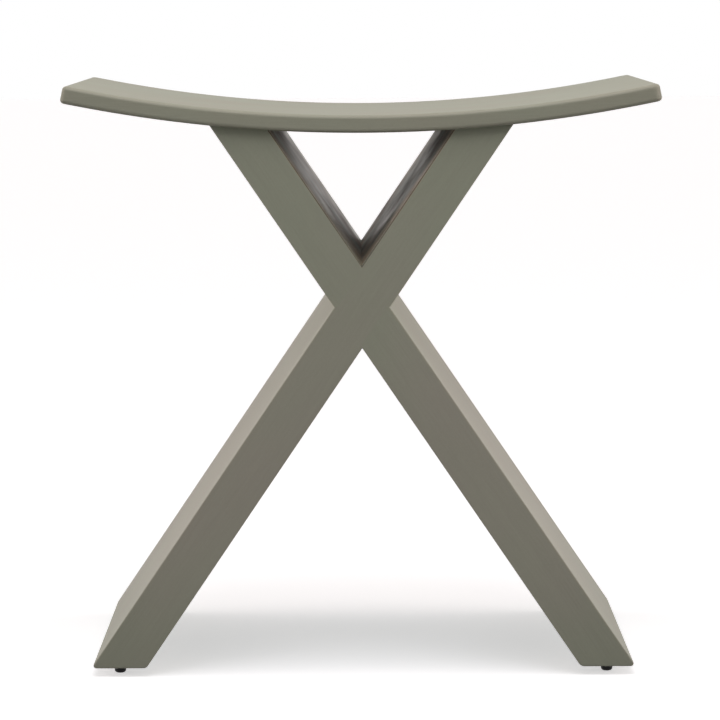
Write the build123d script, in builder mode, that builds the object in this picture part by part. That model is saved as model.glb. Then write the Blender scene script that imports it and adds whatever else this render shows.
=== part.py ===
from build123d import *

import os
from math import acos, asin, cos, degrees, radians, sin, tan

# Accent stool: a dished seat panel on two wide boards that cross in an X.
# Lengths are in millimetres and angles in degrees. The origin lies on the floor under
# the middle of the seat, X runs along the seat, -Y is the front and +Z is up.

# Overall sizes
stool_height = 457.0
seat_width = 458.0
seat_depth = 305.0

# Seat panel, bent about an axis that runs front to back above it
seat_thickness = 13.5
seat_radius = 1115.0
seat_edge_radius = 3.0
seat_corner_radius = 3.5

# Leg panels, whose slope is measured from the floor
leg_slope = 55.87
leg_thickness = 35.5
leg_depth = 289.0
crossing_height = 287.0
leg_edge_radius = 1.0
foot_toe_radius = 2.2
foot_heel_radius = 5.0

# Glue lines and fits
glue_gap = 0.1
halving_clearance = 0.1
hole_clearance = 0.05

# Countersunk wood screws that hold the seat on the legs
screw_length = 40.0
screw_radius = 2.0
screw_head_radius = 4.0
countersink_angle = 90.0
screw_point_length = 6.0
screw_end_inset = 44.0
recess_span = 4.6
recess_width = 1.2
recess_depth = 1.6

# Wooden plugs over the screw heads
plug_radius = 4.5
plug_depth = 4.5
plug_gap = 0.2

# Fluted dowels that place the seat on the legs
dowel_radius = 4.0
dowel_length = 30.0
dowel_in_seat = 8.0
dowel_chamfer = 1.0
dowel_end_gap = 0.5
flute_radius = 0.5
flute_count = 10

# Moulded glides under the feet
glide_height = 7.0
glide_radius = 5.0
glide_tip_radius = 4.3
glide_edge_radius = 2.0
glide_inset = 22.0

# Nails whose heads are moulded into the glides
nail_radius = 1.0
nail_head_radius = 2.8
nail_head_height = 1.0
nail_head_lift = 3.0
nail_in_leg = 14.0
nail_point_length = 3.0

# How fast the shape that cuts an arm away widens with its length
flare_share = 0.3

SIDES = {"left": -1, "right": 1}
ROW_OF_THREE = {"front": -1, "middle": 0, "back": 1}
ROW_OF_TWO = {"front": -1, "back": 1}

# Each leg panel's turn from the X axis, named for the side where its foot stands, and
# the way its halving slot opens: 1 to the front, -1 to the back
LEG_TURN = {"left": leg_slope, "right": -leg_slope}
SLOT_FACING = {"left": -1, "right": 1}

slope = radians(leg_slope)
seat_under_radius = seat_radius + seat_thickness

# The seat's ends are square to its surface. Their angle about the bending axis puts the
# rounded lower corner at half the seat's width, and the axis stands where the rounded
# upper corner reaches the stool's height.
lower_reach = seat_under_radius - seat_edge_radius
upper_reach = seat_radius + seat_edge_radius
seat_end_angle = asin((seat_width / 2 - seat_edge_radius) / lower_reach) + asin(
    seat_edge_radius / lower_reach
)
upper_corner_angle = seat_end_angle - asin(seat_edge_radius / upper_reach)
bend_axis_height = stool_height - seat_edge_radius + upper_reach * cos(upper_corner_angle)
bend_axis_place = Plane(origin=(0, 0, bend_axis_height), x_dir=(1, 0, 0), z_dir=(0, -1, 0))

# What of each fastener lies inside a leg, and the height of a screw's head
screw_in_leg = screw_length - (seat_thickness - plug_depth)
dowel_in_leg = dowel_length - dowel_in_seat
screw_head_height = (screw_head_radius - screw_radius) / tan(radians(countersink_angle / 2))

# Places of the fasteners and the glides, from front to back and across
screw_reach = leg_depth / 2 - screw_end_inset
dowel_reach = screw_reach / 2
glide_reach = leg_depth / 2 - glide_inset
foot_reach = (crossing_height - glide_height) / tan(slope)

# Leg panels are drawn too long, then cut off at the feet and at the seat
leg_blank_length = 2 * stool_height


def angle_over_leg(length_in_leg):
    """Angle about the bending axis where half a fastener's hold is mid-leg."""
    reach = seat_under_radius + length_in_leg / 2
    return slope - acos(cos(slope) * (bend_axis_height - crossing_height) / reach)


def seat_place(side, angle, across, depth):
    """Plane square to the seat's radius, a depth below its top, facing up out of it."""
    swing = SIDES[side] * angle
    reach = seat_radius + depth
    return Plane(
        origin=(reach * sin(swing), across, bend_axis_height - reach * cos(swing)),
        x_dir=(0, 1, 0),
        z_dir=(-sin(swing), 0, cos(swing)),
    )


def screw_place(side, place, depth):
    """Plane of a seat screw, a depth below the seat's top."""
    across = ROW_OF_THREE[place] * screw_reach
    return seat_place(side, angle_over_leg(screw_in_leg), across, depth)


def dowel_place(side, place, depth):
    """Plane of a seat dowel, a depth below the seat's top."""
    across = ROW_OF_TWO[place] * dowel_reach
    return seat_place(side, angle_over_leg(dowel_in_leg), across, depth)


def foot_place(side, place):
    """Plane on the underside of a foot, at the middle of a glide, facing down."""
    return Plane(
        origin=(SIDES[side] * foot_reach, ROW_OF_TWO[place] * glide_reach, glide_height),
        x_dir=(1, 0, 0),
        z_dir=(0, 0, -1),
    )


def profile_plane(base):
    """Plane for half a turned profile: its x is a radius, its y the base plane's z."""
    return Plane(origin=base.origin, x_dir=base.x_dir, z_dir=-base.y_dir)


def turning_axis(base):
    """Axis through a base plane's origin, square to it."""
    return Axis(base.origin, base.z_dir)


def save(piece, name):
    """Labels a finished piece and writes it."""
    piece.part.label = name
    export_step(piece.part, f"parts/{name}.step")


def make_seat_panel():
    """Bent panel with rounded rims, stepped screw holes and blind dowel holes."""
    first_angle = -90 - degrees(seat_end_angle)
    sweep = 2 * degrees(seat_end_angle)
    with BuildPart() as panel:
        with BuildSketch(Plane.XZ):
            with BuildLine():
                top = CenterArc((0, bend_axis_height), seat_radius, first_angle, sweep)
                under = CenterArc((0, bend_axis_height), seat_under_radius, first_angle, sweep)
                Line(top @ 0, under @ 0)
                Line(top @ 1, under @ 1)
            make_face()
        extrude(amount=seat_depth / 2, both=True)
        ends = panel.faces().sort_by(Axis.X)
        corners = (ends[0].edges() + ends[-1].edges()).filter_by(Axis.Y, reverse=True)
        fillet(corners, seat_corner_radius)
        broad = panel.faces().sort_by(SortBy.AREA)
        fillet(broad[-1].edges() + broad[-2].edges(), seat_edge_radius)
        for side in SIDES:
            with Locations(*[screw_place(side, place, 0) for place in ROW_OF_THREE]):
                Hole(plug_radius + hole_clearance, plug_depth)
            with Locations(*[screw_place(side, place, plug_depth) for place in ROW_OF_THREE]):
                CounterSinkHole(
                    screw_radius + hole_clearance,
                    screw_head_radius + hole_clearance,
                    seat_thickness,
                    countersink_angle,
                )
            with Locations(*[dowel_place(side, place, seat_thickness) for place in ROW_OF_TWO]):
                Hole(dowel_radius + hole_clearance, dowel_in_seat + dowel_end_gap)
    return panel


def make_cross_blank():
    """Both leg panels as one shape, rimmed all round as after glueing up."""
    with BuildPart() as blank:
        with BuildSketch(Plane.XZ) as outline:
            with Locations((0, crossing_height)):
                for turn in LEG_TURN.values():
                    Rectangle(leg_blank_length, leg_thickness, rotation=turn)
            with Locations((0, glide_height)):
                Rectangle(
                    leg_blank_length,
                    leg_blank_length,
                    align=(Align.CENTER, Align.MAX),
                    mode=Mode.SUBTRACT,
                )
            feet = outline.vertices().group_by(Axis.Y)[0].sort_by(Axis.X)
            fillet([feet[0], feet[-1]], foot_toe_radius)
            feet = outline.vertices().group_by(Axis.Y)[0].sort_by(Axis.X)
            fillet([feet[1], feet[-2]], foot_heel_radius)
        extrude(amount=leg_depth / 2, both=True)
        broad = blank.faces().sort_by(Axis.Y)
        fillet(broad[0].edges() + broad[-1].edges(), leg_edge_radius)
        with Locations(bend_axis_place):
            Cylinder(seat_under_radius + glue_gap, 2 * leg_depth, mode=Mode.SUBTRACT)
    return blank


def make_leg_panel(side, blank):
    """One board of the cross, with half the halving joint and its fastener holes."""
    turn = LEG_TURN[side]
    facing = SLOT_FACING[side]
    top_side = "right" if side == "left" else "left"
    between = radians(-2 * turn % 180)
    seam = leg_thickness / 2 / sin(between)
    far = leg_blank_length
    arm = [
        (seam * (cos(between) - 1), leg_thickness / 2),
        (seam * (cos(between) + 1), leg_thickness / 2),
        (far * (cos(between) + flare_share), far * sin(between)),
        (far * (cos(between) - flare_share), far * sin(between)),
    ]
    opposite_arm = [(-x, -y) for x, y in arm]
    with BuildPart() as panel:
        add(blank.part)
        with BuildSketch(Plane.XZ):
            with Locations(Location((0, crossing_height, 0), (0, 0, turn))):
                Polygon(*arm, align=None)
                Polygon(*opposite_arm, align=None)
        extrude(amount=leg_depth, both=True, mode=Mode.SUBTRACT)
        with BuildSketch(Plane.XZ.offset(-facing * halving_clearance)):
            with Locations((0, crossing_height)):
                Rectangle(
                    leg_blank_length, leg_thickness + 2 * halving_clearance, rotation=-turn
                )
        extrude(amount=facing * leg_depth, mode=Mode.SUBTRACT)
        with Locations(*[screw_place(top_side, place, seat_thickness) for place in ROW_OF_THREE]):
            Hole(screw_radius + hole_clearance, screw_in_leg)
        with Locations(*[dowel_place(top_side, place, seat_thickness) for place in ROW_OF_TWO]):
            Hole(dowel_radius + hole_clearance, dowel_in_leg + dowel_end_gap)
        with Locations(*[foot_place(side, place) for place in ROW_OF_TWO]):
            Hole(nail_radius + hole_clearance, nail_in_leg)
    return panel


def make_screw(side, place):
    """Countersunk wood screw with a cross recess, its head under a plug."""
    base = screw_place(side, place, plug_depth)
    with BuildPart() as screw:
        with BuildSketch(profile_plane(base)):
            with BuildLine():
                Polyline(
                    (0, 0),
                    (screw_head_radius, 0),
                    (screw_radius, -screw_head_height),
                    (screw_radius, screw_point_length - screw_length),
                    (0, -screw_length),
                    close=True,
                )
            make_face()
        revolve(axis=turning_axis(base))
        with Locations(base):
            for span, width in ((recess_span, recess_width), (recess_width, recess_span)):
                Box(
                    span,
                    width,
                    recess_depth,
                    align=(Align.CENTER, Align.CENTER, Align.MAX),
                    mode=Mode.SUBTRACT,
                )
    return screw


def make_plug(side, place):
    """Short wooden plug over a screw head, dressed flush with the seat's dish."""
    base = screw_place(side, place, plug_depth - plug_gap)
    with BuildPart() as plug:
        with Locations(base):
            Cylinder(
                plug_radius, plug_depth, align=(Align.CENTER, Align.CENTER, Align.MIN)
            )
        with Locations(bend_axis_place):
            Cylinder(seat_radius, leg_depth, mode=Mode.SUBTRACT)
    return plug


def make_dowel(side, place):
    """Dowel with chamfered ends and straight flutes that let the glue out."""
    base = dowel_place(side, place, seat_thickness + dowel_in_leg)
    with BuildPart(base) as dowel:
        Cylinder(dowel_radius, dowel_length, align=(Align.CENTER, Align.CENTER, Align.MIN))
        chamfer(dowel.edges().filter_by(GeomType.CIRCLE), dowel_chamfer)
        with PolarLocations(dowel_radius, flute_count):
            Cylinder(
                flute_radius,
                dowel_length,
                align=(Align.CENTER, Align.CENTER, Align.MIN),
                mode=Mode.SUBTRACT,
            )
    return dowel


def nail_profile():
    """Half the nail's outline: x is a radius, and y runs down from the foot."""
    head_under = glide_height - nail_head_lift
    head_over = head_under - nail_head_height
    return [
        (0, -nail_in_leg),
        (nail_radius, nail_point_length - nail_in_leg),
        (nail_radius, head_over),
        (nail_head_radius, head_over),
        (nail_head_radius, head_under),
        (0, head_under),
    ]


def make_nail(side, place):
    """Flat-headed nail that holds a glide under a foot."""
    base = foot_place(side, place)
    with BuildPart() as nail:
        with BuildSketch(profile_plane(base)):
            with BuildLine():
                Polyline(*nail_profile(), close=True)
            make_face()
        revolve(axis=turning_axis(base))
    return nail


def make_glide(side, place):
    """Tapered glide moulded round a nail's head, with a flat to stand on."""
    base = foot_place(side, place)
    with BuildPart() as glide:
        with BuildSketch(profile_plane(base)) as half:
            with BuildLine():
                Polyline(
                    (0, 0),
                    (glide_radius, 0),
                    (glide_tip_radius, glide_height),
                    (0, glide_height),
                    close=True,
                )
            make_face()
            rim = half.vertices().group_by(Axis.Y)[-1].sort_by(Axis.X)[-1]
            fillet(rim, glide_edge_radius)
        revolve(axis=turning_axis(base))
        with BuildSketch(profile_plane(base)):
            with BuildLine():
                Polyline(*nail_profile(), close=True)
            make_face()
        revolve(axis=turning_axis(base), mode=Mode.SUBTRACT)
    return glide


os.makedirs("parts", exist_ok=True)

save(make_seat_panel(), "seat_panel")
cross_blank = make_cross_blank()
for side in SIDES:
    save(make_leg_panel(side, cross_blank), f"leg_panel_{side}")
    for place in ROW_OF_THREE:
        save(make_screw(side, place), f"seat_screw_{side}_{place}")
        save(make_plug(side, place), f"screw_plug_{side}_{place}")
    for place in ROW_OF_TWO:
        save(make_dowel(side, place), f"seat_dowel_{side}_{place}")
        save(make_glide(side, place), f"glide_{place}_{side}")
        save(make_nail(side, place), f"glide_nail_{place}_{side}")
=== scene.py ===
"""Looks of an accent stool: a dished painted seat on two boards that cross in an X.

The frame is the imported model's: the origin lies on the floor under the middle of the seat,
X runs along the seat, -Y is the front and +Z is up. Sizes whose names end in _mm are in
millimetres, and meshes are in metres.
"""

import logging
import math
from collections.abc import Callable, Iterable
from dataclasses import dataclass
from enum import Enum

import bmesh
import bpy
from mathutils import Matrix, Vector


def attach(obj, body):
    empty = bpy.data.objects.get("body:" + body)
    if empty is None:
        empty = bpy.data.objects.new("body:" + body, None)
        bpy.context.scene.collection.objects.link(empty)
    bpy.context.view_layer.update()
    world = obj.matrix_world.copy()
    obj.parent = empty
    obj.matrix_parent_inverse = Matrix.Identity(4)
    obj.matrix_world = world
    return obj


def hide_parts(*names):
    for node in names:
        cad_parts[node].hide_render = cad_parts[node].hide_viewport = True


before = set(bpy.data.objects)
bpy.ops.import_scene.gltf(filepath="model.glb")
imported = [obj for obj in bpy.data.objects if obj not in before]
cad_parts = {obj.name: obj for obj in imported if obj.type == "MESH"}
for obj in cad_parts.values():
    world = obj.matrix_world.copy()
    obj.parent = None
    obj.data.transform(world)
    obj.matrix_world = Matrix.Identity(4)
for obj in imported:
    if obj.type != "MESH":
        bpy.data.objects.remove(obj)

MM = 0.001
ROOT = "root"
SMOOTH_ANGLE_DEG = 32.0

# Sockets of the Mix node when it mixes colours
COLOUR_A = 6
COLOUR_B = 7
COLOUR_RESULT = 2

# A tree's input for each type of value
SOCKET_KINDS = {
    float: "NodeSocketFloat",
    int: "NodeSocketInt",
    bpy.types.Material: "NodeSocketMaterial",
}

log = logging.getLogger("stool")

Point = tuple[float, float]


class Slot(Enum):
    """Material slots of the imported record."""

    PAINT = "painted_wood"
    NYLON = "black_nylon"


class Board(Enum):
    """The two crossed boards, named for the side where each one's foot stands."""

    LEFT = "left"
    RIGHT = "right"

    @property
    def half_turn(self) -> float:
        """Turn about the upright axis that brings the left board to this one's place."""
        return 0.0 if self is Board.LEFT else math.pi

    def grain_turn_deg(self, slope_deg: float) -> float:
        """Turn about Y after which the X axis runs up a board of this slope."""
        return slope_deg if self is Board.LEFT else 180.0 - slope_deg


def linear(colour: str) -> tuple[float, float, float, float]:
    """Turns an sRGB hex colour into a linear one with full alpha.

    Args:
        colour: The colour as a hash mark and six hex digits.

    Returns:
        Linear red, green and blue, and an alpha of 1.
    """
    # The sRGB curve: a short straight toe with a power curve above it
    shares = [int(colour[i : i + 2], 16) / 255 for i in (1, 3, 5)]
    red, green, blue = [
        share / 12.92 if share <= 0.04045 else ((share + 0.055) / 1.055) ** 2.4
        for share in shares
    ]
    return red, green, blue, 1.0


def add_node(
    tree: bpy.types.NodeTree,
    kind: str,
    inputs: dict[str | int, object] | None = None,
    **settings: object,
) -> bpy.types.Node:
    """Adds a node to a tree, with its settings, its values and its links.

    Args:
        tree: The tree that gets the node.
        kind: The node's type.
        inputs: For each named or numbered socket a value, another node's output to link, or
            another node whose first output is linked.
        **settings: The node's own properties.

    Returns:
        The new node.
    """
    node = tree.nodes.new(kind)
    for name, value in settings.items():
        setattr(node, name, value)
    for key, value in (inputs or {}).items():
        if isinstance(value, bpy.types.Node):
            value = value.outputs[0]
        if isinstance(value, bpy.types.NodeSocket):
            tree.links.new(value, node.inputs[key])
        else:
            node.inputs[key].default_value = value
    return node


def empty_material(name: str) -> tuple[bpy.types.Material, bpy.types.NodeTree]:
    """Makes a material with an empty node tree.

    Args:
        name: The material's name.

    Returns:
        The material and its tree.
    """
    material = bpy.data.materials.new(name)
    material.use_nodes = True
    material.node_tree.nodes.clear()
    return material, material.node_tree


def close_material(tree: bpy.types.NodeTree, shader: bpy.types.Node) -> None:
    """Links a shader to the material's output."""
    add_node(tree, "ShaderNodeOutputMaterial", {"Surface": shader})


@dataclass(frozen=True)
class Pattern:
    """A noise whose cells have a real size, longer along the grain than across it.

    Its shade, its relief and its dulling say how much the colour, the surface's height and
    the roughness change as the noise runs from 0 to 1.
    """

    length_mm: float
    width_mm: float
    detail: float = 2.0
    shade: float = 0.0
    relief_mm: float = 0.0
    dulling: float = 0.0

    def add(
        self, tree: bpy.types.NodeTree, along_grain: bpy.types.NodeSocket
    ) -> bpy.types.NodeSocket:
        """Adds the pattern to a material.

        Args:
            tree: The material's tree.
            along_grain: Coordinates in metres whose x runs along the grain.

        Returns:
            The pattern's value, which is about 0.5 on average.
        """
        across = 1 / (self.width_mm * MM)
        scale = (1 / (self.length_mm * MM), across, across)
        cells = add_node(tree, "ShaderNodeMapping", {"Vector": along_grain, "Scale": scale})
        values = {"Vector": cells, "Scale": 1.0, "Detail": self.detail}
        return add_node(tree, "ShaderNodeTexNoise", values).outputs[0]


def weighted_sum(
    tree: bpy.types.NodeTree,
    start: float,
    terms: Iterable[tuple[bpy.types.NodeSocket, float]],
) -> bpy.types.NodeSocket:
    """Adds nodes that sum patterns about their middle value.

    Args:
        tree: The material's tree.
        start: The sum where every pattern is at 0.5.
        terms: Each pattern's value and its weight.

    Returns:
        The sum.
    """
    used = [(value, weight) for value, weight in terms if weight]
    total: object = start - sum(weight for _, weight in used) / 2
    for value, weight in used:
        total = add_node(
            tree, "ShaderNodeMath", {0: value, 1: weight, 2: total}, operation="MULTIPLY_ADD"
        ).outputs[0]
    return total


@dataclass(frozen=True)
class PaintedWood:
    """Satin sage-grey paint, sprayed over sanded solid wood.

    To the eye it is one quiet grey that drifts a little between green and taupe. The wood's
    pores and broad bands come through as a faint relief along the grain, and the coat is a
    little lighter where the sanded rims wear.
    """

    sage: str = "#999E8C"
    taupe: str = "#9C9D8C"
    worn: str = "#B2B09E"
    worn_share: float = 0.35

    # Pores are a fifth of a millimetre wide; drawn coarser, so that they show at all
    pores: Pattern = Pattern(26.0, 1.1, detail=3.0, shade=0.12, relief_mm=0.05)
    bands: Pattern = Pattern(240.0, 9.0, shade=0.07, relief_mm=0.10)
    peel: Pattern = Pattern(1.6, 1.6, detail=1.0, shade=0.07, relief_mm=0.012, dulling=0.10)
    drift: Pattern = Pattern(95.0, 60.0, detail=1.0, dulling=0.08)
    drift_edges: tuple[float, float] = (0.32, 0.68)

    roughness: float = 0.52
    rim_dulling: float = -0.05
    specular: float = 0.5
    refraction: float = 1.47

    def tone(
        self,
        tree: bpy.types.NodeTree,
        grain: bpy.types.NodeSocket,
        drift: bpy.types.NodeSocket,
    ) -> bpy.types.NodeSocket:
        """Adds the unworn coat's colour.

        Args:
            tree: The material's tree.
            grain: Coordinates in metres whose x runs along the grain.
            drift: The slow change of tone, about 0.5 on average.

        Returns:
            The colour.
        """
        low, high = self.drift_edges
        drifted = add_node(
            tree, "ShaderNodeMapRange", {"Value": drift, "From Min": low, "From Max": high}
        )
        paint = add_node(
            tree,
            "ShaderNodeMix",
            {0: drifted, COLOUR_A: linear(self.sage), COLOUR_B: linear(self.taupe)},
            data_type="RGBA",
        )
        return paint.outputs[COLOUR_RESULT]

    def material(self, name: str, grain_turn_deg: float) -> bpy.types.Material:
        """Makes the finish for one piece.

        Args:
            name: The material's name.
            grain_turn_deg: Turn about Y that brings the piece's grain to the X axis.

        Returns:
            The material.
        """
        material, tree = empty_material(name)
        place = add_node(tree, "ShaderNodeTexCoord")
        grain = add_node(
            tree,
            "ShaderNodeMapping",
            {"Vector": place.outputs["Object"], "Rotation": (0, math.radians(grain_turn_deg), 0)},
        ).outputs[0]
        rim = add_node(tree, "ShaderNodeAttribute", attribute_name="rim").outputs["Fac"]
        patterns = (self.pores, self.bands, self.peel, self.drift)
        layers = [(pattern.add(tree, grain), pattern) for pattern in patterns]
        drift = layers[-1][0]
        shade = weighted_sum(tree, 1.0, [(value, pattern.shade) for value, pattern in layers])
        heights = [(value, pattern.relief_mm * MM) for value, pattern in layers]
        relief = weighted_sum(tree, 0.0, heights)
        dulled = [(value, pattern.dulling) for value, pattern in layers]
        dulled.append((rim, self.rim_dulling))
        tone = self.tone(tree, grain, drift)
        wear = add_node(tree, "ShaderNodeMath", {0: rim, 1: self.worn_share}, operation="MULTIPLY")
        rubbed = add_node(
            tree,
            "ShaderNodeMix",
            {0: wear, COLOUR_A: tone, COLOUR_B: linear(self.worn)},
            data_type="RGBA",
        )
        colour = add_node(
            tree,
            "ShaderNodeVectorMath",
            {0: rubbed.outputs[COLOUR_RESULT], "Scale": shade},
            operation="SCALE",
        )
        bump = add_node(tree, "ShaderNodeBump", {"Height": relief, "Distance": 1.0})
        shader = add_node(
            tree,
            "ShaderNodeBsdfPrincipled",
            {
                "Base Color": colour,
                "Roughness": weighted_sum(tree, self.roughness, dulled),
                "IOR": self.refraction,
                "Specular IOR Level": self.specular,
                "Normal": bump,
            },
        )
        close_material(tree, shader)
        return material


@dataclass(frozen=True)
class LegPaint(PaintedWood):
    """The same paint on the leg boards.

    To the eye the upper arms are as green as the seat, and below the crossing the coat warms
    to taupe before it turns grey again at the feet, where it also darkens as painted shade of
    the light that falls off near the floor.
    """

    taupe: str = "#9F9D90"

    # Places up the board are counted from the point of its line nearest to the origin
    warmest_mm: float = 70.0
    fading_mm: float = 180.0
    warmth_share: float = 0.2
    drift_share: float = 0.4
    # Painted shade: towards the foot the colour darkens, standing in for the light that falls off
    # near the floor
    foot_mm: float = -110.0
    unshaded_mm: float = 0.0
    foot_painted_shade: float = 0.87

    def tone(
        self,
        tree: bpy.types.NodeTree,
        grain: bpy.types.NodeSocket,
        drift: bpy.types.NodeSocket,
    ) -> bpy.types.NodeSocket:
        """Adds the unworn coat's colour, with the change of tone led along the board.

        Args:
            tree: The material's tree.
            grain: Coordinates in metres whose x runs up the board.
            drift: The slow change of tone, about 0.5 on average.

        Returns:
            The colour.
        """
        along = add_node(tree, "ShaderNodeSeparateXYZ", {0: grain}).outputs["X"]
        pace = math.pi / 2 / (self.fading_mm * MM)
        turn = add_node(
            tree,
            "ShaderNodeMath",
            {0: along, 1: pace, 2: -pace * self.warmest_mm * MM},
            operation="MULTIPLY_ADD",
        )
        warmth = add_node(tree, "ShaderNodeMath", {0: turn}, operation="COSINE")
        shares = ((drift, self.drift_share), (warmth.outputs[0], self.warmth_share))
        led = weighted_sum(tree, 0.5, shares)
        # Painted shade: the colour is darkened towards the feet, where the light falls off near
        # the floor
        dulled = add_node(
            tree,
            "ShaderNodeMapRange",
            {
                "Value": along,
                "From Min": self.foot_mm * MM,
                "From Max": self.unshaded_mm * MM,
                "To Min": self.foot_painted_shade,
            },
        )
        toned = add_node(
            tree,
            "ShaderNodeVectorMath",
            {0: super().tone(tree, grain, led), "Scale": dulled},
            operation="SCALE",
        )
        return toned.outputs[0]


@dataclass(frozen=True)
class ThinPaint(PaintedWood):
    """The same paint inside the V, where the spray reached badly.

    To the eye it is browner: the wood shows through in long soft streaks, and smudges darken
    and dull it, partly as stain and partly as painted shade of the hollow under the seat. The
    rims are drawn as a thin dark line beside the front.
    """

    # On the rims inside the V this colour draws a thin dark line beside the front
    worn: str = "#3E3B30"
    worn_share: float = 0.9
    bare_wood: str = "#A68C72"
    bare_share: float = 0.65
    # Dark smudges, partly stain and partly painted shade of the hollow under the seat
    stain_and_shade: str = "#5A4C3F"
    stain_and_shade_share: float = 0.45
    streaks: Pattern = Pattern(120.0, 40.0, detail=3.0)
    streak_edges: tuple[float, float] = (0.36, 0.6)
    drift: Pattern = Pattern(45.0, 90.0, detail=5.0, dulling=0.8)
    smudge_edges: tuple[float, float] = (0.45, 0.65)
    roughness: float = 0.42
    specular: float = 0.6

    def tone(
        self,
        tree: bpy.types.NodeTree,
        grain: bpy.types.NodeSocket,
        drift: bpy.types.NodeSocket,
    ) -> bpy.types.NodeSocket:
        """Adds the paint's colour, the wood's streaks and smudges of stain and painted shade.

        Args:
            tree: The material's tree.
            grain: Coordinates in metres whose x runs along the grain.
            drift: The change of tone that also places the smudges of stain and painted shade,
            about 0.5 on average.

        Returns:
            The colour.
        """
        colour = super().tone(tree, grain, drift)
        for value, (low, high), share, over in (
            (self.streaks.add(tree, grain), self.streak_edges, self.bare_share, self.bare_wood),
            (drift, self.smudge_edges, self.stain_and_shade_share, self.stain_and_shade),
        ):
            cover = add_node(
                tree,
                "ShaderNodeMapRange",
                {"Value": value, "From Min": low, "From Max": high, "To Max": share},
            )
            covered = add_node(
                tree,
                "ShaderNodeMix",
                {0: cover, COLOUR_A: colour, COLOUR_B: linear(over)},
                data_type="RGBA",
            )
            colour = covered.outputs[COLOUR_RESULT]
        return colour


@dataclass(frozen=True)
class FleckedFinish:
    """A finish of one ground colour with fine flecks of another, which also roughen it."""

    ground: str
    fleck: str
    flecks: Pattern
    roughness: float
    metallic: float = 0.0
    refraction: float = 1.5
    specular: float = 0.5
    grain_turn_deg: float = 0.0

    def material(self, name: str) -> bpy.types.Material:
        """Makes the finish.

        Args:
            name: The material's name.

        Returns:
            The material.
        """
        material, tree = empty_material(name)
        place = add_node(tree, "ShaderNodeTexCoord")
        turn = (0, math.radians(self.grain_turn_deg), 0)
        grain = add_node(
            tree, "ShaderNodeMapping", {"Vector": place.outputs["Object"], "Rotation": turn}
        )
        flecks = self.flecks.add(tree, grain.outputs[0])
        colour = add_node(
            tree,
            "ShaderNodeMix",
            {0: flecks, COLOUR_A: linear(self.ground), COLOUR_B: linear(self.fleck)},
            data_type="RGBA",
        )
        relief = weighted_sum(tree, 0.0, ((flecks, self.flecks.relief_mm * MM),))
        bump = add_node(tree, "ShaderNodeBump", {"Height": relief, "Distance": 1.0})
        shader = add_node(
            tree,
            "ShaderNodeBsdfPrincipled",
            {
                "Base Color": colour.outputs[COLOUR_RESULT],
                "Metallic": self.metallic,
                "Roughness": weighted_sum(tree, self.roughness, ((flecks, self.flecks.dulling),)),
                "IOR": self.refraction,
                "Specular IOR Level": self.specular,
                "Normal": bump,
            },
        )
        close_material(tree, shader)
        return material


@dataclass(frozen=True)
class MouldedNylon(FleckedFinish):
    """Black nylon from a fine-grained mould: a deep black with a faint grey sheen."""

    ground: str = "#070708"
    fleck: str = "#121213"
    flecks: Pattern = Pattern(2.5, 2.5, relief_mm=0.01, dulling=0.12)
    roughness: float = 0.3
    refraction: float = 1.53
    specular: float = 0.2


@dataclass(frozen=True)
class ZincPlate(FleckedFinish):
    """Bright zinc on drawn steel: a pale metal with fine scuffs and a soft mirror."""

    ground: str = "#C4C6C8"
    fleck: str = "#A3A4A3"
    flecks: Pattern = Pattern(1.2, 0.6, relief_mm=0.008, dulling=0.2)
    roughness: float = 0.3
    metallic: float = 1.0


@dataclass(frozen=True)
class BareBeech(FleckedFinish):
    """Planed beech without a finish: pinkish tan, with short dark flecks along the grain.

    The grain stands upright, as the dowels nearly do.
    """

    ground: str = "#D6B48A"
    fleck: str = "#A87B52"
    flecks: Pattern = Pattern(3.0, 0.4, detail=3.0, relief_mm=0.03, dulling=0.15)
    roughness: float = 0.7
    grain_turn_deg: float = 90.0


def new_object(name: str, mesh: bpy.types.Mesh) -> bpy.types.Object:
    """Puts a mesh in the scene at the origin.

    Args:
        name: The object's name, which the mesh takes too.
        mesh: The mesh.

    Returns:
        The object.
    """
    mesh.name = name
    piece = bpy.data.objects.new(name, mesh)
    bpy.context.scene.collection.objects.link(piece)
    return piece


def rim_vertex(shell: bmesh.types.BMesh, place: Vector, wear: float) -> bmesh.types.BMVert:
    """Adds a vertex that knows how worn its rim is.

    Args:
        shell: The shell that gets the vertex.
        place: Its place in millimetres.
        wear: 1 on the middle of a rounded rim and 0 off it.

    Returns:
        The vertex.
    """
    vertex = shell.verts.new(place * MM)
    vertex[shell.verts.layers.float["rim"]] = wear
    return vertex


def close_shell(shell: bmesh.types.BMesh, mesh: bpy.types.Mesh) -> None:
    """Turns a closed shell's faces outwards, moves it into a mesh and shades it smooth.

    Args:
        shell: The shell, which is used up.
        mesh: The mesh that takes it, with sharp edges where its faces meet at an angle.
    """
    bmesh.ops.recalc_face_normals(shell, faces=shell.faces)
    shell.to_mesh(mesh)
    shell.free()
    mesh.shade_smooth()
    mesh.set_sharp_from_angle(angle=math.radians(SMOOTH_ANGLE_DEG))


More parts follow.
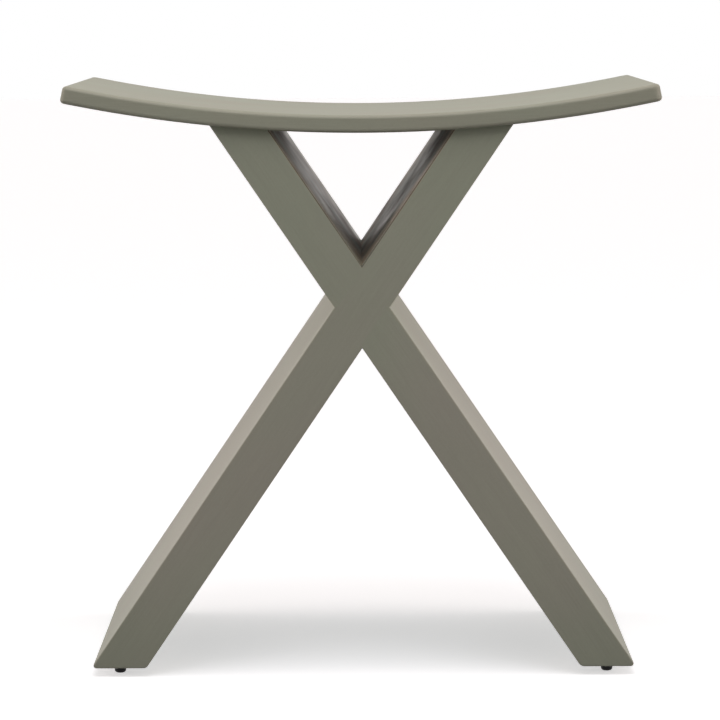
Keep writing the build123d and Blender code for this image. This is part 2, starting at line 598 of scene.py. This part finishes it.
def shaped(
    name: str,
    blank: bpy.types.Mesh,
    values: dict[str, object],
    add_form: Callable[[bpy.types.NodeTree], bpy.types.NodeSocket],
) -> bpy.types.Object:
    """Shapes a blank mesh with a node tree and keeps the result as a plain piece.

    Args:
        name: The piece's name.
        blank: The mesh that the tree starts from, which is used up.
        values: The tree's inputs by name: lengths in metres, counts and the finish.
        add_form: Adds the nodes between the tree's inputs and the formed geometry.

    Returns:
        The piece.
    """
    tree = bpy.data.node_groups.new(name, "GeometryNodeTree")
    for side in ("INPUT", "OUTPUT"):
        tree.interface.new_socket(name="Geometry", in_out=side, socket_type="NodeSocketGeometry")
    settings = {}
    for key, value in values.items():
        kind = SOCKET_KINDS[type(value)]
        socket = tree.interface.new_socket(name=key, in_out="INPUT", socket_type=kind)
        settings[socket.identifier] = value
    real = add_node(tree, "GeometryNodeRealizeInstances", {0: add_form(tree)})
    finish = add_node(tree, "NodeGroupInput").outputs["Finish"]
    dressed = add_node(tree, "GeometryNodeSetMaterial", {"Geometry": real, "Material": finish})
    add_node(tree, "NodeGroupOutput", {0: dressed})

    carrier = new_object("blank", blank)
    modifier = carrier.modifiers.new("shaping", "NODES")
    modifier.node_group = tree
    for identifier, value in settings.items():
        modifier[identifier] = value
    depsgraph = bpy.context.evaluated_depsgraph_get()
    mesh = bpy.data.meshes.new_from_object(
        carrier.evaluated_get(depsgraph), preserve_all_data_layers=True, depsgraph=depsgraph
    )
    bpy.data.objects.remove(carrier)
    bpy.data.meshes.remove(blank)
    bpy.data.node_groups.remove(tree)
    shell = bmesh.new()
    shell.from_mesh(mesh)
    close_shell(shell, mesh)
    return new_object(name, mesh)


@dataclass(frozen=True)
class RimStep:
    """One ring of a rounded rim: how far in and how far down it lies, and its wear."""

    inset_mm: float
    depth_mm: float
    wear: float


def rim_steps(radius_mm: float, margin_mm: float, count: int = 7) -> list[RimStep]:
    """Rings over a rounded rim, from the broad face round to the edge face.

    Args:
        radius_mm: The rim's radius.
        margin_mm: A flat strip beyond the rounding, where the wear fades out.
        count: Number of flats over the quarter turn.

    Returns:
        The rings in order.
    """
    rings = [RimStep(radius_mm + margin_mm, 0.0, 0.0)]
    for i in range(count + 1):
        turn = math.pi / 2 * i / count
        inset = radius_mm * (1 - math.sin(turn))
        depth = radius_mm * (1 - math.cos(turn))
        rings.append(RimStep(inset, depth, math.sin(2 * turn)))
    rings.append(RimStep(0.0, radius_mm + margin_mm, 0.0))
    return rings


@dataclass(frozen=True)
class SeatPanel:
    """The dished seat: a flat rounded panel that a node tree bends about an axis above it."""

    width_mm: float = 458.0
    depth_mm: float = 305.0
    height_mm: float = 457.0
    thickness_mm: float = 13.5
    radius_mm: float = 1115.0
    rim_radius_mm: float = 3.0
    front_left_radius_mm: float = 3.5
    front_right_radius_mm: float = 6.0
    back_radius_mm: float = 9.0
    margin_mm: float = 0.4
    columns: int = 110
    rows: int = 14
    corner_steps: int = 8

    @property
    def end_angle(self) -> float:
        """Half the seat's sweep about the bending axis.

        Returns:
            The angle in radians.
        """
        reach = self.radius_mm + self.thickness_mm - self.rim_radius_mm
        side = self.width_mm / 2 - self.rim_radius_mm
        return math.asin(side / reach) + math.asin(self.rim_radius_mm / reach)

    @property
    def axis_height_mm(self) -> float:
        """Height of the bending axis above the floor.

        Returns:
            The height in millimetres.
        """
        reach = self.radius_mm + self.rim_radius_mm
        corner_angle = self.end_angle - math.asin(self.rim_radius_mm / reach)
        return self.height_mm - self.rim_radius_mm + reach * math.cos(corner_angle)

    def long_edge(
        self, facing: int, left_mm: float, right_mm: float
    ) -> list[tuple[Vector, Vector]]:
        """Points and outward directions along the front or back edge of the flat panel.

        Args:
            facing: -1 for the front edge, 1 for the back edge.
            left_mm: Radius of the edge's left corner.
            right_mm: Radius of its right corner.

        Returns:
            The points from left to right, each with its outward direction.
        """
        half_length = self.end_angle * self.radius_mm
        half_depth = self.depth_mm / 2
        left, right = [], []
        for i in range(self.corner_steps + 1):
            turn = math.pi / 2 * i / self.corner_steps
            out = Vector((math.cos(turn), facing * math.sin(turn)))
            for radius, side, run in ((left_mm, -1, left), (right_mm, 1, right)):
                centre = Vector((side * (half_length - radius), facing * (half_depth - radius)))
                facing_out = Vector((side * out.x, out.y))
                run.append((centre + radius * facing_out, facing_out))
        start, stop = left[-1][0], right[-1][0]
        middle = [
            (start.lerp(stop, i / self.columns), Vector((0, facing)))
            for i in range(1, self.columns)
        ]
        return left + middle + right[::-1]

    def flat_panel(self) -> bpy.types.Mesh:
        """Builds the flat panel, its top at height 0, with worn rims.

        Returns:
            The mesh.
        """
        front = self.long_edge(-1, self.front_left_radius_mm, self.front_right_radius_mm)
        back = self.long_edge(1, self.back_radius_mm, self.back_radius_mm)
        last = len(front) - 1
        top_rings = rim_steps(self.rim_radius_mm, self.margin_mm)
        under_rings = [
            RimStep(ring.inset_mm, self.thickness_mm - ring.depth_mm, ring.wear)
            for ring in reversed(top_rings)
        ]
        shell = bmesh.new()
        shell.verts.layers.float.new("rim")

        def spot(edge: tuple[Vector, Vector], ring: RimStep) -> Vector:
            """Finds a ring's point beside one point of the outline."""
            return (edge[0] - ring.inset_mm * edge[1]).to_3d() + Vector((0, 0, -ring.depth_mm))

        def row(column: int, ring: RimStep) -> list[bmesh.types.BMVert]:
            """Adds the vertices between the front and back edges at one column."""
            near, far = spot(front[column], ring), spot(back[column], ring)
            return [
                rim_vertex(shell, near.lerp(far, i / self.rows), ring.wear)
                for i in range(1, self.rows)
            ]

        outlines = []
        for ring in top_rings + under_rings:
            fore, aft = [
                [rim_vertex(shell, spot(point, ring), ring.wear) for point in edge]
                for edge in (front, back)
            ]
            outlines.append((fore, row(last, ring), aft, row(0, ring)))
        loops = [fore + right + aft[::-1] + left[::-1] for fore, right, aft, left in outlines]
        for upper, lower in zip(loops, loops[1:]):
            for i, here in enumerate(upper):
                shell.faces.new((here, lower[i], lower[i - 1], upper[i - 1]))
        for (fore, right, aft, left), ring, up in (
            (outlines[0], top_rings[0], True),
            (outlines[-1], under_rings[-1], False),
        ):
            lines = [[fore[0], *left, aft[0]]]
            for column in range(1, last):
                lines.append([fore[column], *row(column, ring), aft[column]])
            lines.append([fore[last], *right, aft[last]])
            for line, following in zip(lines, lines[1:]):
                for i in range(self.rows):
                    corners = (line[i], following[i], following[i + 1], line[i + 1])
                    shell.faces.new(corners if up else corners[::-1])
        mesh = bpy.data.meshes.new("flat_seat")
        close_shell(shell, mesh)
        return mesh

    def bend(self, tree: bpy.types.NodeTree) -> bpy.types.NodeSocket:
        """Adds nodes that wrap the flat panel onto a cylinder whose axis runs along Y.

        Args:
            tree: The tree, which is given the panel, its top radius and its axis height.

        Returns:
            The bent panel.
        """
        given = add_node(tree, "NodeGroupInput").outputs
        place = add_node(tree, "GeometryNodeInputPosition")
        flat = add_node(tree, "ShaderNodeSeparateXYZ", {0: place}).outputs
        known = {"x": flat["X"], "z": flat["Z"], "radius": given["Top Radius"]}
        known["axis"] = given["Axis Height"]
        for result, operation, terms in (
            ("angle", "DIVIDE", ("x", "radius")),
            ("reach", "SUBTRACT", ("radius", "z")),
            ("sine", "SINE", ("angle",)),
            ("cosine", "COSINE", ("angle",)),
            ("side", "MULTIPLY", ("reach", "sine")),
            ("drop", "MULTIPLY", ("reach", "cosine")),
            ("height", "SUBTRACT", ("axis", "drop")),
        ):
            inputs = {i: known[term] for i, term in enumerate(terms)}
            step = add_node(tree, "ShaderNodeMath", inputs, operation=operation)
            known[result] = step.outputs[0]
        spot = {"X": known["side"], "Y": flat["Y"], "Z": known["height"]}
        bent = add_node(tree, "ShaderNodeCombineXYZ", spot)
        moved = add_node(
            tree, "GeometryNodeSetPosition", {"Geometry": given["Geometry"], "Position": bent}
        )
        return moved.outputs[0]

    def build(self, paint: PaintedWood) -> bpy.types.Object:
        """Builds the seat in place of its panel and of the plugs, which the paint covers.

        Args:
            paint: The finish.

        Returns:
            The piece.
        """
        values = {
            "Top Radius": self.radius_mm * MM,
            "Axis Height": self.axis_height_mm * MM,
            "Finish": paint.material("satin_paint_seat", 0.0),
        }
        seat = shaped("seat", self.flat_panel(), values, self.bend)
        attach(seat, ROOT)
        plugs = [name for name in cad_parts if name.startswith("screw_plug_")]
        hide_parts("seat_panel", *plugs)
        return seat


def corner_arc(
    bend: Point, towards: tuple[Point, Point], radius: float, count: int
) -> list[Point]:
    """Points over a rounded corner between two straight lines.

    Args:
        bend: Where the two lines meet.
        towards: Unit directions from there along the first line and along the second.
        radius: The corner's radius.
        count: Number of flats over the arc.

    Returns:
        The points, from the first line to the second.
    """
    first, second = Vector(towards[0]), Vector(towards[1])
    half = first.angle(second) / 2
    middle = (first + second).normalized()
    centre = Vector(bend) + middle * (radius / math.sin(half))
    start = Vector(bend) + first * (radius / math.tan(half)) - centre
    stop = Vector(bend) + second * (radius / math.tan(half)) - centre
    sweep = start.angle(stop)
    points = []
    for i in range(count + 1):
        share = i / count
        ahead = math.sin((1 - share) * sweep) / math.sin(sweep)
        behind = math.sin(share * sweep) / math.sin(sweep)
        spot = centre + start * ahead + stop * behind
        points.append((spot.x, spot.y))
    return points


@dataclass(frozen=True)
class CrossedBoards:
    """The two leg boards, halved into each other with their front and back faces flush.

    Both are built as the left one, from rings that run from the front face over its rim to
    the back, and the right one is turned half a turn about the upright axis.
    """

    slope_deg: float = 55.87
    thickness_mm: float = 35.5
    depth_mm: float = 289.0
    crossing_mm: float = 287.0
    foot_height_mm: float = 7.0
    under_radius_mm: float = 1128.6
    rim_radius_mm: float = 1.0
    toe_radius_mm: float = 2.2
    left_heel_radius_mm: float = 4.3
    right_heel_radius_mm: float = 5.6
    least_radius_mm: float = 0.05
    margin_mm: float = 1.0
    arc_steps: int = 6
    top_steps: int = 10

    def lower_run(self, inset: float, heel_mm: float) -> list[Point]:
        """Outline of the lower arm, from the side crotch round the foot to the lower one.

        Args:
            inset: How far the outline is drawn in, in millimetres.
            heel_mm: Radius of the foot's inner corner.

        Returns:
            Points in x and z.
        """
        slope = math.radians(self.slope_deg)
        half = self.thickness_mm / 2 - inset
        floor = self.foot_height_mm + inset
        up = (math.cos(slope), math.sin(slope))
        drop = self.crossing_mm - floor
        toe = (-drop / math.tan(slope) - half / math.sin(slope), floor)
        heel = (-drop / math.tan(slope) + half / math.sin(slope), floor)
        toe_radius = max(self.toe_radius_mm - inset, self.least_radius_mm)
        heel_radius = max(heel_mm - inset, self.least_radius_mm)
        return [
            (-half / math.sin(slope), self.crossing_mm),
            *corner_arc(toe, (up, (1.0, 0.0)), toe_radius, self.arc_steps),
            *corner_arc(heel, ((-1.0, 0.0), up), heel_radius, self.arc_steps),
            (0.0, self.crossing_mm - half / math.cos(slope)),
        ]

    def upper_run(self, inset: float, axis_height_mm: float) -> list[Point]:
        """Outline of the upper arm, from the side crotch round its top to the upper one.

        Args:
            inset: How far the outline is drawn in, in millimetres.
            axis_height_mm: Height of the axis that the seat is bent about.

        Returns:
            Points in x and z.
        """
        slope = math.radians(self.slope_deg)
        half = self.thickness_mm / 2 - inset
        rise = axis_height_mm - self.crossing_mm
        ends = []
        for offset in (-half, half):
            along = rise * math.sin(slope)
            across = rise * math.cos(slope) - offset
            reach = along - math.sqrt(self.under_radius_mm**2 - across**2)
            x = reach * math.cos(slope) - offset * math.sin(slope)
            z = self.crossing_mm + reach * math.sin(slope) + offset * math.cos(slope)
            ends.append(math.atan2(x, axis_height_mm - z))
        outer, inner = ends
        top = []
        for i in range(self.top_steps + 1):
            angle = outer + (inner - outer) * i / self.top_steps
            x = self.under_radius_mm * math.sin(angle)
            top.append((x, axis_height_mm - self.under_radius_mm * math.cos(angle)))
        return [
            (half / math.sin(slope), self.crossing_mm),
            *top,
            (0.0, self.crossing_mm + half / math.cos(slope)),
        ]

    def mesh(self, board: Board, axis_height_mm: float) -> bpy.types.Mesh:
        """Builds one board.

        Args:
            board: Which of the two.
            axis_height_mm: Height of the axis that the seat is bent about.

        Returns:
            The closed mesh, in its place.
        """
        heel = self.left_heel_radius_mm if board is Board.LEFT else self.right_heel_radius_mm
        front = rim_steps(self.rim_radius_mm, self.margin_mm)
        half_depth = self.depth_mm / 2
        rings = [(ring, ring.depth_mm - half_depth) for ring in front]
        rings += [(ring, half_depth - ring.depth_mm) for ring in reversed(front)]
        shell = bmesh.new()
        shell.verts.layers.float.new("rim")
        lower, upper = [], []
        for ring, y in rings:
            for run, outline in (
                (lower, self.lower_run(ring.inset_mm, heel)),
                (upper, self.upper_run(ring.inset_mm, axis_height_mm)),
            ):
                run.append([rim_vertex(shell, Vector((x, y, z)), ring.wear) for x, z in outline])

        for run in (lower, upper):
            for i in range(len(rings) - 1):
                for j in range(len(run[0]) - 1):
                    side = shell.faces.new(
                        (run[i][j], run[i + 1][j], run[i + 1][j + 1], run[i][j + 1])
                    )
                    # Faces inside the V take the thin paint, with its smudges of stain and painted
                    # shade
                    in_v = run is upper and j == len(run[0]) - 2
                    on_face = 0 in (i, len(rings) - 2 - i)
                    side.material_index = int(in_v and not on_face)

        # The glued faces: flats that run in from the four crotches, and the halving slot
        crotches = [[row[end] for row in run] for run in (lower, upper) for end in (0, -1)]
        inner = []
        for column in crotches:
            corner = shell.verts.new((column[0].co.x, 0.0, column[0].co.z))
            shell.faces.new((*column, corner))
            inner.append(corner)
        first = [column[0] for column in crotches]
        last = [column[-1] for column in crotches]
        for ends, a, b in ((first, 0, 3), (first, 1, 2), (last, 0, 1), (last, 2, 3)):
            shell.faces.new((ends[a], ends[b], inner[b], inner[a]))
        core = (0, 1, 2, 3)
        shell.faces.new([inner[i] for i in core])
        shell.faces.new([first[i] for i in core])
        for cap in (lower[0], lower[-1], upper[0], upper[-1]):
            shell.faces.new(cap)
        turn = Matrix.Rotation(board.half_turn, 3, "Z")
        bmesh.ops.rotate(shell, verts=shell.verts, matrix=turn)
        mesh = bpy.data.meshes.new(f"leg_{board.value}")
        close_shell(shell, mesh)
        return mesh

    def build(
        self, paint: LegPaint, thin: dict[Board, ThinPaint], axis_height_mm: float
    ) -> list[bpy.types.Object]:
        """Builds both boards in place of the leg panels.

        Args:
            paint: The finish outside.
            thin: Each board's finish inside the V.
            axis_height_mm: Height of the axis that the seat is bent about.

        Returns:
            The two pieces.
        """
        pieces = []
        for board in Board:
            piece = new_object(f"leg_board_{board.value}", self.mesh(board, axis_height_mm))
            turn = board.grain_turn_deg(self.slope_deg)
            piece.data.materials.append(paint.material(f"satin_paint_leg_{board.value}", turn))
            inside = thin[board].material(f"thin_paint_leg_{board.value}", turn)
            piece.data.materials.append(inside)
            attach(piece, ROOT)
            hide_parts(f"leg_panel_{board.value}")
            pieces.append(piece)
        return pieces


@dataclass(frozen=True)
class GlideSet:
    """Four turned glides under the feet, from one profile that a node tree repeats."""

    span_across_mm: float = 379.57
    span_along_mm: float = 245.0
    height_mm: float = 7.0
    top_radius_mm: float = 5.0
    tip_radius_mm: float = 4.3
    rounding_mm: float = 2.0
    rings: int = 30
    sides: int = 40

    def turn(self, tree: bpy.types.NodeTree) -> bpy.types.NodeSocket:
        """Adds nodes that turn one glide and set it at the corners of a rectangle.

        Args:
            tree: The tree, which is given the glide's sizes and the rectangle's.

        Returns:
            The four glides.
        """
        given = add_node(tree, "NodeGroupInput").outputs
        top = add_node(tree, "ShaderNodeCombineXYZ", {"Z": given["Height"]})
        axis = add_node(tree, "GeometryNodeCurvePrimitiveLine", {"End": top})
        points = add_node(
            tree, "GeometryNodeResampleCurve", {"Curve": axis, "Count": given["Rings"]}
        )
        share = add_node(tree, "GeometryNodeSplineParameter").outputs["Factor"]
        place = add_node(tree, "GeometryNodeInputPosition")
        level = add_node(tree, "ShaderNodeSeparateXYZ", {0: place}).outputs["Z"]
        taper = add_node(
            tree,
            "ShaderNodeMapRange",
            {
                "Value": level,
                "From Max": given["Height"],
                "To Min": given["Tip Radius"],
                "To Max": given["Top Radius"],
            },
        )

        # The axis's points are packed towards the tip, and the radius at each one is a
        # straight taper, less what the rounding of the tip takes off
        known = {"share": share, "level": level, "taper": taper, "nothing": 0.0}
        known |= {"height": given["Height"], "rounding": given["Rounding"]}
        for result, operation, terms in (
            ("packed", "MULTIPLY", ("share", "share")),
            ("raised", "MULTIPLY", ("packed", "height")),
            ("short", "SUBTRACT", ("rounding", "level")),
            ("below", "MAXIMUM", ("short", "nothing")),
            ("below_squared", "MULTIPLY", ("below", "below")),
            ("rounding_squared", "MULTIPLY", ("rounding", "rounding")),
            ("rest", "SUBTRACT", ("rounding_squared", "below_squared")),
            ("kept", "SQRT", ("rest",)),
            ("taken", "SUBTRACT", ("rounding", "kept")),
            ("radius", "SUBTRACT", ("taper", "taken")),
        ):
            inputs = {i: known[term] for i, term in enumerate(terms)}
            step = add_node(tree, "ShaderNodeMath", inputs, operation=operation)
            known[result] = step.outputs[0]
        lifted = add_node(tree, "ShaderNodeCombineXYZ", {"Z": known["raised"]})
        line = add_node(tree, "GeometryNodeSetPosition", {"Geometry": points, "Position": lifted})
        circle = add_node(
            tree, "GeometryNodeCurvePrimitiveCircle", {"Resolution": given["Sides"], "Radius": 1.0}
        )
        glide = add_node(
            tree,
            "GeometryNodeCurveToMesh",
            {"Curve": line, "Profile Curve": circle, "Scale": known["radius"], "Fill Caps": True},
        )
        spans = {"Size X": given["Span Across"], "Size Y": given["Span Along"]}
        grid = add_node(tree, "GeometryNodeMeshGrid", {**spans, "Vertices X": 2, "Vertices Y": 2})
        placed = add_node(
            tree, "GeometryNodeInstanceOnPoints", {"Points": grid, "Instance": glide}
        )
        return placed.outputs[0]

    def build(self, nylon: MouldedNylon) -> bpy.types.Object:
        """Builds the glides in place of their four nodes.

        Args:
            nylon: The finish.

        Returns:
            The piece.
        """
        values = {
            "Span Across": self.span_across_mm * MM,
            "Span Along": self.span_along_mm * MM,
            "Height": self.height_mm * MM,
            "Top Radius": self.top_radius_mm * MM,
            "Tip Radius": self.tip_radius_mm * MM,
            "Rounding": self.rounding_mm * MM,
            "Rings": self.rings,
            "Sides": self.sides,
            "Finish": nylon.material("moulded_nylon"),
        }
        glides = shaped("glides", bpy.data.meshes.new("blank"), values, self.turn)
        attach(glides, ROOT)
        rows = ("front", "back")
        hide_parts(*[f"glide_{row}_{side}" for row in rows for side in ("left", "right")])
        return glides


@dataclass(frozen=True)
class HiddenFixings:
    """The screws, dowels and nails inside, which keep their own solids."""

    screw_prefix: str = "seat_screw_"
    nail_prefix: str = "glide_nail_"
    dowel_prefix: str = "seat_dowel_"

    def dress(self, steel: ZincPlate, beech: BareBeech) -> list[bpy.types.Object]:
        """Gives each fixing its finish.

        Args:
            steel: The finish of screws and nails.
            beech: The finish of dowels.

        Returns:
            The fixings.
        """
        zinc = steel.material("zinc_plate")
        wood = beech.material("bare_beech")
        dressed = []
        for name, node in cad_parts.items():
            if name.startswith((self.screw_prefix, self.nail_prefix)):
                finish = zinc
            elif name.startswith(self.dowel_prefix):
                finish = wood
            else:
                continue
            for slot in node.material_slots:
                slot.material = finish
            dressed.append(node)
        return dressed


@dataclass(frozen=True)
class DomePatch:
    """A soft patch of light on the dome: its middle, its spread, its level and its tint."""

    towards: tuple[float, float, float]
    power: float
    strength: float
    tint: str


@dataclass(frozen=True)
class SoftBox:
    """A wide soft box that hangs before and above the stool and is aimed at its middle."""

    place_m: tuple[float, float, float] = (0.0, -0.87, 1.737)
    aim_m: tuple[float, float, float] = (0.0, 0.0, 0.25)
    width_m: float = 1.083
    length_m: float = 1.374
    strength: float = 2.46
    tint: str = "#FFFAFC"

    def build(self) -> None:
        """Hangs the box."""
        data = bpy.data.lights.new("soft_box", "AREA")
        data.shape = "RECTANGLE"
        data.size = self.width_m
        data.size_y = self.length_m
        data.energy = self.strength * math.pi * self.width_m * self.length_m
        data.color = linear(self.tint)[:3]
        lamp = bpy.data.objects.new("soft_box", data)
        bpy.context.scene.collection.objects.link(lamp)
        place = Vector(self.place_m)
        turn = (Vector(self.aim_m) - place).to_track_quat("-Z", "Y")
        lamp.matrix_world = Matrix.Translation(place) @ turn.to_matrix().to_4x4()


@dataclass(frozen=True)
class Studio:
    """A white sweep under a dim dome, with one soft box above and a pale wall at each side."""

    floor_size_m: float = 30.0
    floor_pale: str = "#616160"
    floor_shade: str = "#F7FAFC"
    floor_glow: float = 0.54
    white: str = "#FFFFFF"
    mirrored_tint: str = "#FFFAF7"
    dome_strength: float = 0.23
    box: SoftBox = SoftBox()
    patches: tuple[DomePatch, ...] = (
        DomePatch(towards=(-0.987, 0.0, 0.158), power=14.0, strength=5.5, tint="#FFEDE9"),
        DomePatch(towards=(0.987, 0.0, 0.158), power=14.0, strength=5.6, tint="#FFEDE9"),
    )

    camera_place_mm: tuple[float, float, float] = (-4.13, -2862.77, 527.34)
    camera_pitch_deg: float = 5.9003
    camera_yaw_deg: float = 0.0494
    camera_roll_deg: float = -0.2448
    focal_px: float = 3560.43
    frame_px: float = 720.0
    sensor_mm: float = 36.0

    def build_world(self) -> None:
        """Lights the scene with the dome, which looks white to the camera and to gloss."""
        world = bpy.data.worlds.new("dome")
        bpy.context.scene.world = world
        world.use_nodes = True
        tree = world.node_tree
        tree.nodes.clear()
        way = add_node(tree, "ShaderNodeTexCoord")
        light = add_node(
            tree,
            "ShaderNodeBackground",
            {"Color": linear(self.white), "Strength": self.dome_strength},
        )
        for side in self.patches:
            facing = add_node(
                tree,
                "ShaderNodeVectorMath",
                {0: way.outputs["Generated"], 1: side.towards},
                operation="DOT_PRODUCT",
            )
            level = facing.outputs["Value"]
            for operation, term in (
                ("MAXIMUM", 0.0),
                ("POWER", side.power),
                ("MULTIPLY", side.strength),
            ):
                step = add_node(tree, "ShaderNodeMath", {0: level, 1: term}, operation=operation)
                level = step.outputs[0]
            patch = add_node(
                tree, "ShaderNodeBackground", {"Color": linear(side.tint), "Strength": level}
            )
            light = add_node(tree, "ShaderNodeAddShader", {0: light, 1: patch})
        path = add_node(tree, "ShaderNodeLightPath").outputs
        for ray, tint in (
            ("Is Glossy Ray", self.mirrored_tint),
            ("Is Transmission Ray", self.white),
            ("Is Camera Ray", self.white),
        ):
            shown = add_node(tree, "ShaderNodeBackground", {"Color": linear(tint)})
            light = add_node(tree, "ShaderNodeMixShader", {0: path[ray], 1: light, 2: shown})
        add_node(tree, "ShaderNodeOutputWorld", {"Surface": light})

    def build_floor(self) -> None:
        """Lays the floor, dim in its own light and white to the camera where it is open."""
        material, tree = empty_material("white_sweep")
        pale = add_node(tree, "ShaderNodeBsdfDiffuse", {"Color": linear(self.floor_pale)})
        lit = add_node(tree, "ShaderNodeBsdfDiffuse", {"Color": linear(self.floor_shade)})
        glow = add_node(
            tree, "ShaderNodeEmission", {"Color": linear(self.white), "Strength": self.floor_glow}
        )
        seen = add_node(tree, "ShaderNodeAddShader", {0: lit, 1: glow})
        path = add_node(tree, "ShaderNodeLightPath").outputs
        mirrored = add_node(
            tree,
            "ShaderNodeMath",
            {0: path["Is Camera Ray"], 1: path["Is Glossy Ray"]},
            operation="MAXIMUM",
        )
        shader = add_node(tree, "ShaderNodeMixShader", {0: mirrored, 1: pale, 2: seen})
        close_material(tree, shader)
        half = self.floor_size_m / 2
        mesh = bpy.data.meshes.new("floor")
        corners = [(-half, -half, 0), (half, -half, 0), (half, half, 0), (-half, half, 0)]
        mesh.from_pydata(corners, [], [(0, 1, 2, 3)])
        mesh.materials.append(material)
        new_object("floor", mesh)

    def build_camera(self) -> None:
        """Sets the camera where the photograph was taken from."""
        data = bpy.data.cameras.new("camera")
        data.sensor_width = self.sensor_mm
        data.lens = self.sensor_mm * self.focal_px / self.frame_px
        camera = bpy.data.objects.new("camera", data)
        bpy.context.scene.collection.objects.link(camera)
        roll, pitch, yaw = [
            Matrix.Rotation(math.radians(angle), 3, axis)
            for angle, axis in (
                (self.camera_roll_deg, "Y"),
                (self.camera_pitch_deg, "X"),
                (self.camera_yaw_deg, "Z"),
            )
        ]
        level = Matrix.Rotation(math.radians(90), 3, "X")
        turn = (roll @ pitch @ yaw).transposed() @ level
        place = Vector(self.camera_place_mm) * MM
        camera.matrix_world = Matrix.Translation(place) @ turn.to_4x4()
        bpy.context.scene.camera = camera

    def build(self) -> None:
        """Builds the floor, the light and the camera, and sets the plain view transform."""
        self.build_world()
        self.box.build()
        self.build_floor()
        self.build_camera()
        bpy.context.scene.view_settings.view_transform = "Standard"


def report(pieces: Iterable[bpy.types.Object]) -> None:
    """Logs each piece with its number of faces."""
    for piece in pieces:
        log.info("%s: %d faces", piece.name, len(piece.data.polygons))


def main() -> None:
    """Builds the stool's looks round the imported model."""
    logging.basicConfig(level=logging.INFO, format="%(name)s: %(message)s")
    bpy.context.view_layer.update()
    seat = SeatPanel()
    report([seat.build(PaintedWood())])
    # The left board's inner wall, on the right side of the V, is rougher and takes more dark
    # smudges: painted shade where less light reaches that wall
    thin = {Board.LEFT: ThinPaint(roughness=0.5, stain_and_shade_share=0.7), Board.RIGHT: ThinPaint()}
    report(CrossedBoards().build(LegPaint(), thin, seat.axis_height_mm))
    report([GlideSet().build(MouldedNylon())])
    report(HiddenFixings().dress(ZincPlate(), BareBeech()))
    Studio().build()


if __name__ == "__main__":
    main()
